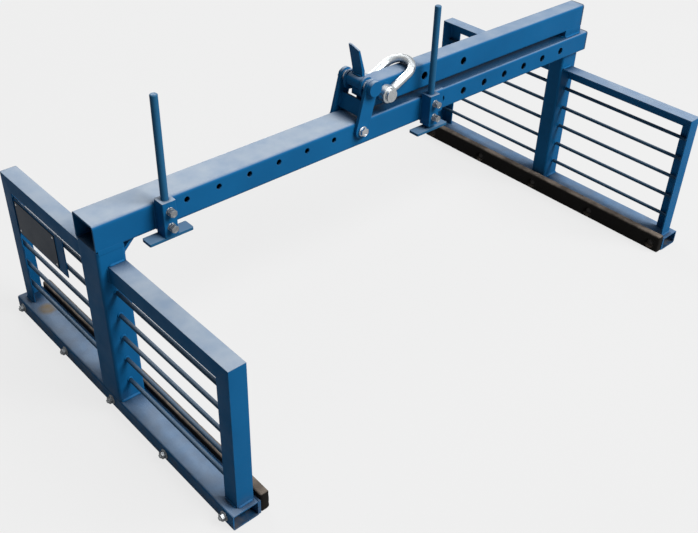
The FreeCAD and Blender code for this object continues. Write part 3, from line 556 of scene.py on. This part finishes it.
def anglePoints(a):  # its section: how far in from the outside face, and how far down or in from the end
    def arc(u, v, radius, start, sweep):
        turns = [math.radians(start + sweep * i / a["arcSteps"]) for i in range(a["arcSteps"] + 1)]
        return [(u + radius * math.cos(turn), v + radius * math.sin(turn)) for turn in turns]

    leg, thick, root, toe, heel = (a[key] for key in ("legMm", "thickMm", "rootMm", "toeMm", "heelMm"))
    points = arc(heel, heel, heel, 180, 90) + [(leg, 0)]
    points += arc(leg - toe, thick - toe, toe, 0, 90)
    points += arc(thick + root, thick + root, root, 270, -90)
    points += arc(thick - toe, leg - toe, toe, 0, 90)
    return points + [(0, leg)]


def frameHalf(side, body, end):  # a top rail and an end post, mitred at the corner
    rail, post = f"{side}_top_rail_{end}", f"{side}_end_post_{end}"
    railLow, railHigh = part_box(rail)
    postLow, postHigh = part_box(post)
    outside, inX = (postLow.x, mm) if side == "left" else (postHigh.x, -mm)
    endY, startY, inY = (postLow.y, railHigh.y, mm) if end == "front" else (postHigh.y, railLow.y, -mm)
    railRings, postRings = ([], []), ([], [])
    for u, v in anglePoints(rolledAngle):
        x, y, z = outside + inX * u, endY + inY * v, postHigh.z - mm * v
        railRings[0].append((x, startY, z))
        railRings[1].append((x, y, z))
        postRings[0].append((x, y, postLow.z))
        postRings[1].append((x, y, z))
    for node, rings in ((rail, railRings), (post, postRings)):
        bm = bmesh.new()
        skinRings(bm, [[bm.verts.new(point) for point in ring] for ring in rings])
        piece = addPiece(f"{node}_angle", bm, nodes[node].data.materials[0], body, (node,))
        shadeByAngle(piece, rolledAngle["crease"])


def rodSpans(side):  # each guard rod's two ends, the outer one on the end post's leg
    spans = []
    for low, high in solidBoxes(f"{side}_guard_rods"):
        middle = (low + high) / 2
        end = "front" if middle.y < 0 else "back"
        postLow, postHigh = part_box(f"{side}_end_post_{end}")
        thick = rolledAngle["thickMm"] * mm
        lowY, highY = (postLow.y + thick, high.y) if end == "front" else (low.y, postHigh.y - thick)
        ends = [Vector((middle.x, y, middle.z)) for y in (lowY, highY)]
        spans.append((*ends, (high.z - low.z) / 2 / mm))
    return spans


def dressFrame(side, body):
    for end in ("front", "back"):
        frameHalf(side, body, end)
    bm = bmesh.new()
    for first, last, radius in rodSpans(side):
        length = (last - first).length / mm
        plainRod(bm, first, (0, 1, 0), radius, length, rolledAngle["rodSegments"])
    piece = addPiece(f"{side}_rods_full", bm, rodFinish, body, (f"{side}_guard_rods",))
    shadeByAngle(piece, rolledAngle["rodCrease"])


dressFrame("left", "left_arm")
dressFrame("right", "right_arm")
print("guard frames")

# Leg of each fillet, and how far a bead or seam stops short of an edge, in mm
frameWelds = {"postLeg": 6.0, "railLeg": 5.0, "rodLeg": 3.2, "sleeveLeg": 5.0, "blockLeg": 6.0,
              "postSeamIn": 5.0, "blockSeamIn": 2.0, "lugFootIn": 4.0, "lugTopIn": 6.0, "webIn": 2.0}


def addWelds(name, bm, body):
    shadeByAngle(addPiece(name, bm, beadFinish, body), bead["crease"])


def weldJaw(side, body, w):
    bm = bmesh.new()
    leg, thick = rolledAngle["legMm"] * mm, rolledAngle["thickMm"] * mm
    outFace = "-x" if side == "left" else "+x"
    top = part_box(f"{side}_base_rail")[1].z
    postLow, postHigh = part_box(f"{side}_post")
    boxBeads(bm, postLow, postHigh, (0, 0, 1), (0, 0, top), w["postLeg"], ("-y", "+y"))
    for end, inward in (("front", 1), ("back", -1)):
        low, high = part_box(f"{side}_end_post_{end}")
        endY, endFace = (low.y, "-y") if end == "front" else (high.y, "+y")
        low.y, high.y = sorted((endY, endY + inward * leg))
        boxBeads(bm, low, high, (0, 0, 1), (0, 0, top), w["railLeg"], (outFace, endFace))
        # top rail on the main post, and the inner corner of the mitre
        railLow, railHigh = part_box(f"{side}_top_rail_{end}")
        railLow.z = railHigh.z - leg
        face = postLow.y if end == "front" else postHigh.y
        boxBeads(bm, railLow, railHigh, (0, -inward, 0), (0, face, 0), w["railLeg"], (outFace, "+z"))
        corner, under = endY + inward * thick, railHigh.z - thick
        layBead(bm, (railLow.x + 2 * thick, corner, under), (railHigh.x - 2 * thick, corner, under),
                (0, inward, 0), (0, 0, -1), w["railLeg"])
    for first, last, radius in rodSpans(side):
        for place, direction in ((first, 1), (last, -1)):
            layRingBead(bm, place, (0, direction, 0), radius, w["rodLeg"])
    addWelds(f"{side}_jaw_welds", bm, body)


weldJaw("left", "left_arm", frameWelds)
weldJaw("right", "right_arm", frameWelds)

# Welds on the beam, the draw bar, the fork and the latch
places = {j["name"]: Vector(j["pos_m"]) for j in behaviour["joints"] if "pos_m" in j}
fulcrum, headPin = places["links_swing"], places["latch_swing"]


def weldCarrier(w):  # the stops' sleeves, the post's ground seam and the knee plate
    bm = bmesh.new()
    carrierLow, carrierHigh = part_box("carrier_tube")
    for side in ("left", "right"):
        low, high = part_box(f"{side}_stop_sleeve")
        low.z, high.z = carrierLow.z, carrierHigh.z
        boxBeads(bm, low, high, (0, -1, 0), (0, carrierLow.y, 0), w["sleeveLeg"], ("-x", "+x"))
    postLow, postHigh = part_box("left_post")
    inset = w["postSeamIn"] * mm
    for y, out in ((postLow.y, -1), (postHigh.y, 1)):
        first, last = (postLow.x + inset, y, postHigh.z), (postHigh.x - inset, y, postHigh.z)
        laySeam(bm, first, last, (0, 0, 1), (0, out, 0))
    kneeLow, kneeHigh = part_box("left_knee_plate")
    for x, z in ((kneeLow.x, kneeLow.z), (kneeHigh.x, kneeHigh.z)):
        layBead(bm, (x, kneeLow.y, z), (x, kneeHigh.y, z), (1, 0, 0), (0, 0, -1), w["railLeg"])
    addWelds("beam_welds", bm, "left_arm")


def weldDrawBar(w):  # its block and lugs, and the right post under the inner tube
    bm = bmesh.new()
    blockLow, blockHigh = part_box("draw_bar_block")
    foot = (0, 0, blockLow.z)
    boxBeads(bm, blockLow, blockHigh, (0, 0, 1), foot, w["blockLeg"], ("-x", "+x", "-y", "+y"))
    postLow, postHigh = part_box("right_post")
    boxBeads(bm, postLow, postHigh, (0, 0, -1), (0, 0, postHigh.z), w["postLeg"], ("-x", "-y", "+y"))
    barLow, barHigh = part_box("draw_bar")
    inset = w["blockSeamIn"] * mm
    for side, y, out in (("front", barLow.y, -1), ("rear", barHigh.y, 1)):
        first, last = (blockLow.x + inset, y, blockHigh.z), (blockHigh.x - inset, y, blockHigh.z)
        laySeam(bm, first, last, (0, 0, 1), (0, out, 0))
        lugLow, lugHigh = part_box(f"draw_bar_lug_{side}")
        first = (lugHigh.x, y, lugLow.z + w["lugFootIn"] * mm)
        last = (lugHigh.x, y, barHigh.z - w["lugTopIn"] * mm)
        layBead(bm, first, last, (1, 0, 0), (0, out, 0), w["railLeg"])
    addWelds("draw_bar_welds", bm, "right_arm")


def weldFork(w):  # the web between the links leans with them
    bm = bmesh.new()
    along = (headPin - fulcrum).normalized()
    square = Vector((along.z, 0, -along.x))
    spots = [v.co - fulcrum for v in nodes["link_web"].data.vertices]
    inset = w["webIn"] * mm
    first, last = min(p.dot(along) for p in spots) + inset, max(p.dot(along) for p in spots) - inset
    half, end = max(p.dot(square) for p in spots), max(p.y for p in spots)
    for face in (-1, 1):
        for side in (-1, 1):
            corner = fulcrum + square * half * face + Vector((0, side * end, 0))
            ends = (corner + along * first, corner + along * last)
            layBead(bm, *ends, square * face, (0, -side, 0), w["railLeg"])
    addWelds("fork_welds", bm, "swing_links")


latchBlade = {"halfThick": 5.0, "halfWidth": 19.0, "hubReach": 20.6}


def weldLatch(w, s):  # the lever's blade on its hub
    bm = bmesh.new()
    reach = Vector((0, s["halfWidth"] * mm, 0))
    for face in (-1, 1):
        for up in (-1, 1):
            corner = headPin + Vector((face * s["halfThick"], 0, up * s["hubReach"])) * mm
            layBead(bm, corner - reach, corner + reach, (face, 0, 0), (0, 0, up), w["railLeg"])
    addWelds("latch_welds", bm, "latch")


weldCarrier(frameWelds)
weldDrawBar(frameWelds)
weldFork(frameWelds)
weldLatch(frameWelds, latchBlade)
print("welds laid")

# Fasteners in place of the plain ones
padBolts = {"domeMm": ((13, 0), (13, 1.6), (12.2, 3.2), (9.5, 4.8), (5.5, 5.8), (0, 6)), "headMm": 6.0,
            "shankMm": 6.0, "nutAcross": 19.0, "nutMm": 10.0, "washerMm": 2.5, "washerRadius": 14.0,
            "pitchMm": 1.75, "threadMm": 9.0, "segments": 28, "crease": 45}


def addFastener(name, bm, material, body, replaced=(), crease=hexForm["crease"]):
    shadeByAngle(addPiece(name, bm, material, body, replaced), crease)


def dressPadBolts(side, body, out):
    s = padBolts
    axis = Vector((out, 0, 0))
    baseLow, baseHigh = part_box(f"{side}_base_rail")
    face = baseLow.x if out < 0 else baseHigh.x
    nuts, bolts = bmesh.new(), bmesh.new()
    for low, high in solidBoxes(f"{side}_pad_bolts"):
        middle = (low + high) / 2
        tip, head = (low.x, high.x) if out < 0 else (high.x, low.x)
        seat = Vector((face, middle.y, middle.z))
        washer(nuts, seat, axis, s["shankMm"] + play["washer"], s["washerRadius"], s["washerMm"])
        seat += axis * s["washerMm"] * mm
        hexNut(nuts, seat, axis, s["nutAcross"], s["nutMm"], s["shankMm"] + play["thread"])
        start = Vector((tip, middle.y, middle.z)) - axis * s["threadMm"] * mm
        threadedEnd(nuts, start, axis, s["shankMm"], s["threadMm"], s["pitchMm"])
        crown = Vector((head, middle.y, middle.z)) + axis * s["headMm"] * mm
        shank = abs(tip - crown.x) / mm - s["threadMm"]
        rings = [steady(r, h) for r, h in s["domeMm"][::-1]]
        rings += [steady(s["shankMm"], 0), steady(s["shankMm"], -shank), steady(0, -shank)]
        stackRings(bolts, crown, -axis, rings, s["segments"])
    addFastener(f"{side}_pad_nut_set", nuts, greyed, body, (f"{side}_pad_nuts",))
    addFastener(f"{side}_pad_bolt_set", bolts, dirty, body, (f"{side}_pad_bolts",), s["crease"])


dressPadBolts("left", "left_arm", -1)
dressPadBolts("right", "right_arm", 1)

clampScrews = {"across": 19.0, "headMm": 8.0, "radius": 6.0, "pitchMm": 1.75, "nutMm": 8.0,
               "tackHalf": 4.0, "tackLeg": 2.2}


def dressClamps(side):
    s = clampScrews
    front = Vector((0, -1, 0))
    nuts = bmesh.new()
    for low, high in solidBoxes(f"{side}_clamp_nuts"):
        middle = (low + high) / 2
        centre = Vector((middle.x, high.y, middle.z))
        hexNut(nuts, centre, front, s["across"], s["nutMm"], s["radius"] + play["thread"])
        for k in range(6):  # tacked to the sleeve on its flats
            angle = math.pi / 3 * k
            flat = Vector((math.cos(angle), 0, math.sin(angle)))
            run = Vector((-math.sin(angle), 0, math.cos(angle))) * s["tackHalf"] * mm
            spot = centre + flat * s["across"] / 2 * mm
            layBead(nuts, spot - run, spot + run, flat, front, s["tackLeg"])
    addFastener(f"{side}_clamp_nut_set", nuts, greyed, "left_arm", (f"{side}_clamp_nuts",))
    for level in ("upper", "lower"):
        node = f"{side}_clamp_screw_{level}"
        low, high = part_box(node)
        middle = (low + high) / 2
        seat = Vector((middle.x, low.y + s["headMm"] * mm, middle.z))
        screw = bmesh.new()
        hexHead(screw, seat, front, s["across"], s["headMm"])
        length = (high.y - seat.y) / mm
        threadedEnd(screw, seat, -front, s["radius"], length, s["pitchMm"])
        addFastener(f"{side}_clamp_bolt_{level}", screw, greyed, f"{side}_screw_{level}", (node,))


dressClamps("left")
dressClamps("right")

fulcrumSet = {"across": 24.0, "headMm": 10.0, "radius": 8.0, "pitchMm": 2.0, "threadMm": 20.0,
              "nutMm": 13.0, "washerRadius": 15.0, "washerMm": 3.0, "segments": 28}


def dressFulcrum(s):
    front, back = Vector((0, -1, 0)), Vector((0, 1, 0))
    low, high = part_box("fulcrum_bolt")
    middle = (low + high) / 2
    bolt = bmesh.new()
    seat = Vector((middle.x, low.y + s["headMm"] * mm, middle.z))
    hexHead(bolt, seat, front, s["across"], s["headMm"])
    start = Vector((middle.x, high.y - s["threadMm"] * mm, middle.z))
    threadedEnd(bolt, start, back, s["radius"], s["threadMm"], s["pitchMm"])
    shank = (start - seat).length / mm
    stackRings(bolt, seat, back, [steady(s["radius"], 0), steady(s["radius"], shank)], s["segments"])
    addFastener("fulcrum_bolt_turned", bolt, finishes["galvanised"], "left_arm", ("fulcrum_bolt",))
    rest = bmesh.new()
    seat = Vector((middle.x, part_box("fulcrum_nut")[0].y, middle.z))
    hexNut(rest, seat, back, s["across"], s["nutMm"], s["radius"] + play["thread"])
    for box in solidBoxes("fulcrum_washers"):
        seat = Vector((middle.x, box[0].y, middle.z))
        washer(rest, seat, back, s["radius"] + play["washer"], s["washerRadius"], s["washerMm"])
    addFastener("fulcrum_nut_and_washers", rest, finishes["galvanised"], "left_arm",
                ("fulcrum_nut", "fulcrum_washers"))


dressFulcrum(fulcrumSet)

# Split pins: one wire folded into an eye, its two ends spread
splitPin = {"wire": 1.15, "gap": 1.2, "legMm": 15.0, "legSteps": 5, "spread": 9.0, "lowerSpread": 7.2,
            "curl": 0.25, "lowerCurl": 0.2, "eye": 3.6, "neck": 4.2, "eyeArc": 140, "eyeStep": 28,
            "half": {"swing_links": 11.0, "bow": 11.5},  # of the pin that it goes through
            "segments": 10, "crease": 50}


def sweepTube(bm, points, radius, segments):
    rings = []
    for i, point in enumerate(points):
        ahead = points[min(i + 1, len(points) - 1)] - points[max(i - 1, 0)]
        run, side, other = axes(ahead)
        if rings:  # keep the ring from twisting
            other = run.cross(lastSide - run * lastSide.dot(run)).normalized()
            side = other.cross(run)
        lastSide = side
        rings.append([bm.verts.new(point + (side * math.cos(a) + other * math.sin(a)) * radius * mm)
                      for a in (2 * math.pi * k / segments for k in range(segments))])
    skinRings(bm, rings)


def dressSplitPin(node, body):
    s = splitPin
    low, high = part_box(node)
    middle = (low + high) / 2
    half, gap = s["half"][body], s["gap"]
    upper, lower = [], []
    for k in range(1, s["legSteps"] + 1):
        f = k / s["legSteps"]
        upper.append((half + s["legMm"] * f * (1 - s["curl"] * f), gap + s["spread"] * f ** 2))
        lower.append((half + s["legMm"] * f * (1 - s["lowerCurl"] * f), -gap - s["lowerSpread"] * f ** 2))
    turns = [math.radians(d) for d in range(s["eyeArc"], -s["eyeArc"] - 1, -s["eyeStep"])]
    eye = [(-half - s["neck"] - s["eye"] * math.cos(a), s["eye"] * math.sin(a)) for a in turns]
    flat = upper[::-1] + [(half, gap), (-half, gap)] + eye + [(-half, -gap), (half, -gap)] + lower
    points = [middle + Vector((x, 0, z)) * mm for x, z in flat]
    bm = bmesh.new()
    sweepTube(bm, points, s["wire"], s["segments"])
    addFastener(f"{node}_bent", bm, finishes["galvanised"], body, (node,), s["crease"])


dressSplitPin("head_pin_split_pin", "swing_links")
dressSplitPin("bow_pin_split_pin", "bow")
print("fasteners dressed")


def settle(piece):  # leaves the mesh that the piece's modifiers give, without them
    bpy.context.view_layer.update()
    shaped = bpy.data.meshes.new_from_object(piece.evaluated_get(bpy.context.evaluated_depsgraph_get()))
    piece.modifiers.clear()
    piece.data = shaped


# Forged and moulded forms: remeshed from the solids, with their edges eased
def easedCopy(node, name, body, material, s):
    piece = newObject(name, nodes[node].data.copy())
    grid = piece.modifiers.new("grid", "REMESH")
    grid.mode, grid.voxel_size = "VOXEL", s["voxelMm"] * mm
    ease = piece.modifiers.new("ease", "SMOOTH")
    ease.factor, ease.iterations = s["ease"], s["rounds"]
    settle(piece)
    piece.data.name = name
    piece.data.materials.clear()
    piece.data.materials.append(material)
    for face in piece.data.polygons:
        face.use_smooth = True
    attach(piece, body)
    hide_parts(node)
    return piece


bowForm = {"voxelMm": 2.0, "ease": 0.5, "rounds": 10}
easedCopy("lifting_bow", "bow_forged", "bow", spangled, bowForm)

# Inner tube with its row of adjusting holes bored out to the size that shows
boring = {"holeMm": 24.0, "segments": 40, "groupMm": 40.0, "rowMm": 12.0, "faceMm": 1.0, "pastMm": 5.0,
          "mergeMm": 0.01, "crease": 30}


def holeCentres(bm, low, middle, s):  # along the tube, from the rims of the holes in its front face
    face, row = low.y + s["faceMm"] * mm, s["rowMm"] * mm
    rims = sorted(v.co.x for v in bm.verts if v.co.y < face and abs(v.co.z - middle.z) < row)
    groups = [[rims[0]]]
    for x in rims[1:]:
        if x - groups[-1][-1] > s["groupMm"] * mm:
            groups.append([])
        groups[-1].append(x)
    return [(group[0] + group[-1]) / 2 for group in groups if len(group) > 2]


def boreTube(s):
    low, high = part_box("inner_tube")
    middle = (low + high) / 2
    bm = bmesh.new()
    bm.from_mesh(nodes["inner_tube"].data)
    bmesh.ops.remove_doubles(bm, verts=bm.verts, dist=s["mergeMm"] * mm)
    centres = holeCentres(bm, low, middle, s)
    finish = endFinishes["inner_tube"]
    piece = addPiece("inner_tube_bored", bm, finish, "right_arm", ("inner_tube",))
    drills = bmesh.new()
    length = (high.y - low.y) / mm + 2 * s["pastMm"]
    for x in centres:
        start = Vector((x, low.y - s["pastMm"] * mm, middle.z))
        plainRod(drills, start, (0, 1, 0), s["holeMm"] / 2, length, s["segments"])
    bmesh.ops.recalc_face_normals(drills, faces=drills.faces)
    drillMesh = bpy.data.meshes.new("drills")
    drills.to_mesh(drillMesh)
    drills.free()
    cutter = newObject("drills", drillMesh)
    bore = piece.modifiers.new("bore", "BOOLEAN")
    bore.operation, bore.solver, bore.object = "DIFFERENCE", "EXACT", cutter
    settle(piece)
    bpy.data.objects.remove(cutter)
    bpy.data.meshes.remove(drillMesh)
    shadeByAngle(piece, s["crease"])
    print("holes bored:", len(centres))


boreTube(boring)

padForm = {"voxelMm": 4.0, "ease": 0.5, "rounds": 5, "waveMm": 60.0, "waveDepth": 0.9, "edgeMm": 9.0,
           "nickMm": 14.0, "nickDepth": 3.0, "nickFrom": 0.15}


def dressPad(side, body):  # moulded pad with a softened skin and nicks along its edges
    s = padForm
    node, finish = f"{side}_grip_pad", finishes["pad_rubber"]
    piece = easedCopy(node, f"{side}_pad_moulded", body, finish, s)
    low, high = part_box(node)
    skin = piece.data.vertices
    for vertex, out in zip(skin, [v.normal.copy() for v in skin]):
        place = vertex.co.copy()
        wave = 0.5 + 0.5 * noise.noise(place / (s["waveMm"] * mm))
        depth = [min(place[i] - low[i], high[i] - place[i]) for i in range(3)]
        edge = max(0.0, 1 - sorted(depth)[1] / (s["edgeMm"] * mm))
        nick = max(0.0, noise.noise(place / (s["nickMm"] * mm)) - s["nickFrom"]) * edge
        vertex.co = place - out * (wave * s["waveDepth"] + nick * s["nickDepth"]) * mm


dressPad("left", "left_arm")
dressPad("right", "right_arm")

rivets = {"radius": 3.2, "height": 1.5, "insetMm": 9.0, "segments": 16, "crease": 60,
          "dome": ((1.0, 0.0), (0.92, 0.5), (0.6, 0.88), (0.0, 1.0))}  # shares of the radius and height


def rivetSign(s):
    bm = bmesh.new()
    low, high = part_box("sign_plate")
    inset = s["insetMm"] * mm
    rings = [steady(s["radius"] * wide, s["height"] * tall) for wide, tall in s["dome"]]
    for y in (low.y + inset, high.y - inset):
        for z in (low.z + inset, high.z - inset):
            stackRings(bm, Vector((low.x, y, z)), (-1, 0, 0), rings, s["segments"])
    addFastener("sign_rivets", bm, finishes["galvanised"], "left_arm", crease=s["crease"])


rivetSign(rivets)
print("bow, pads and sign dressed")

# Camera, from the photograph's own viewing angle
cameraSet = {"place": (-1.7777, -1.8154, 1.8800), "heading": 42.938, "down": 36.155, "roll": 1.824,
             "lens": 48.063, "sensor": 36.0}


def makeCamera(s):
    heading, down = math.radians(s["heading"]), math.radians(s["down"])
    look = Vector((math.sin(heading) * math.cos(down), math.cos(heading) * math.cos(down), -math.sin(down)))
    turn = look.to_track_quat("-Z", "Y").to_matrix() @ Matrix.Rotation(math.radians(s["roll"]), 3, "Z")
    data = bpy.data.cameras.new("photo_camera")
    data.lens, data.sensor_width, data.sensor_fit = s["lens"], s["sensor"], "HORIZONTAL"
    camera = newObject("photo_camera", data)
    camera.matrix_world = Matrix.Translation(s["place"]) @ turn.to_4x4()
    bpy.context.scene.camera = camera


makeCamera(cameraSet)

# Studio: pale floor, soft boxes and a grey surround
studio = {
    "floor": "#929292", "floorSize": 24.0, "floorGlow": "#FFFFFF", "glowShare": 0.77, "glossShare": 0.3,
    "surround": "#EEEEEE", "ambient": 0.08, "skyShare": 0.5,
    "boxes": (  # place, size and power of each soft box, aimed at the middle of the beam
        ("key_box", (3.6, -7.6, 9.6), 7.0, 2300.0),
        ("sky_box", (0.0, 1.5, 7.0), 6.0, 140.0),
        ("back_box", (3.0, 8.0, 3.2), 4.0, 420.0),
    ),
    "aim": (0.0, 0.0, 0.45),
}


def paleRays(tree, glossShare):  # how far each ray sees the pale background
    rays = tree.nodes.new("ShaderNodeLightPath").outputs
    gloss = addNode(tree, "Math", {0: rays["Is Glossy Ray"], 1: glossShare}, operation="MULTIPLY")
    seen = addNode(tree, "Math", {0: rays["Is Camera Ray"], 1: gloss}, operation="MAXIMUM")
    return addNode(tree, "Math", {0: seen, 1: rays["Is Transmission Ray"]}, operation="MAXIMUM")


def makeFloor(s):
    size = s["floorSize"] / 2
    corners = [(-size, -size, 0), (size, -size, 0), (size, size, 0), (-size, size, 0)]
    mesh = bpy.data.meshes.new("floor")
    mesh.from_pydata(corners, [], [(0, 1, 2, 3)])
    newObject("floor", mesh)
    material, tree = newMaterial("floor_paper")
    plain = addNode(tree, "BsdfDiffuse", {"Color": hexColour(s["floor"])})
    glow = addNode(tree, "Emission", {"Color": hexColour(s["floorGlow"])})
    pale = paleRays(tree, s["glossShare"])
    share = addNode(tree, "Math", {0: pale, 1: s["glowShare"]}, operation="MULTIPLY")
    both = addNode(tree, "MixShader", {0: share, 1: plain, 2: glow})
    addNode(tree, "OutputMaterial", {"Surface": both})
    mesh.materials.append(material)


def makeSurround(s):  # lights softly, and shows pale to the camera and in gloss
    world = bpy.data.worlds.new("surround")
    bpy.context.scene.world = world
    world.use_nodes = True
    sky = world.node_tree
    sky.nodes.clear()
    lit = addNode(sky, "Background", {"Color": hexColour(s["surround"]), "Strength": s["ambient"]})
    shown = addNode(sky, "Background", {"Color": hexColour(s["surround"]), "Strength": 1.0})
    mixed = addNode(sky, "MixShader", {0: paleRays(sky, s["skyShare"]), 1: lit, 2: shown})
    addNode(sky, "OutputWorld", {"Surface": mixed})


def hangBoxes(s):
    for name, place, width, power in s["boxes"]:
        data = bpy.data.lights.new(name, "AREA")
        data.shape, data.size, data.energy = "SQUARE", width, power
        lamp = newObject(name, data)
        lamp.location = place
        lamp.rotation_euler = (Vector(s["aim"]) - Vector(place)).to_track_quat("-Z", "Y").to_euler()


bpy.context.scene.view_settings.view_transform = "Standard"
makeFloor(studio)
makeSurround(studio)
hangBoxes(studio)
print("camera and studio set")
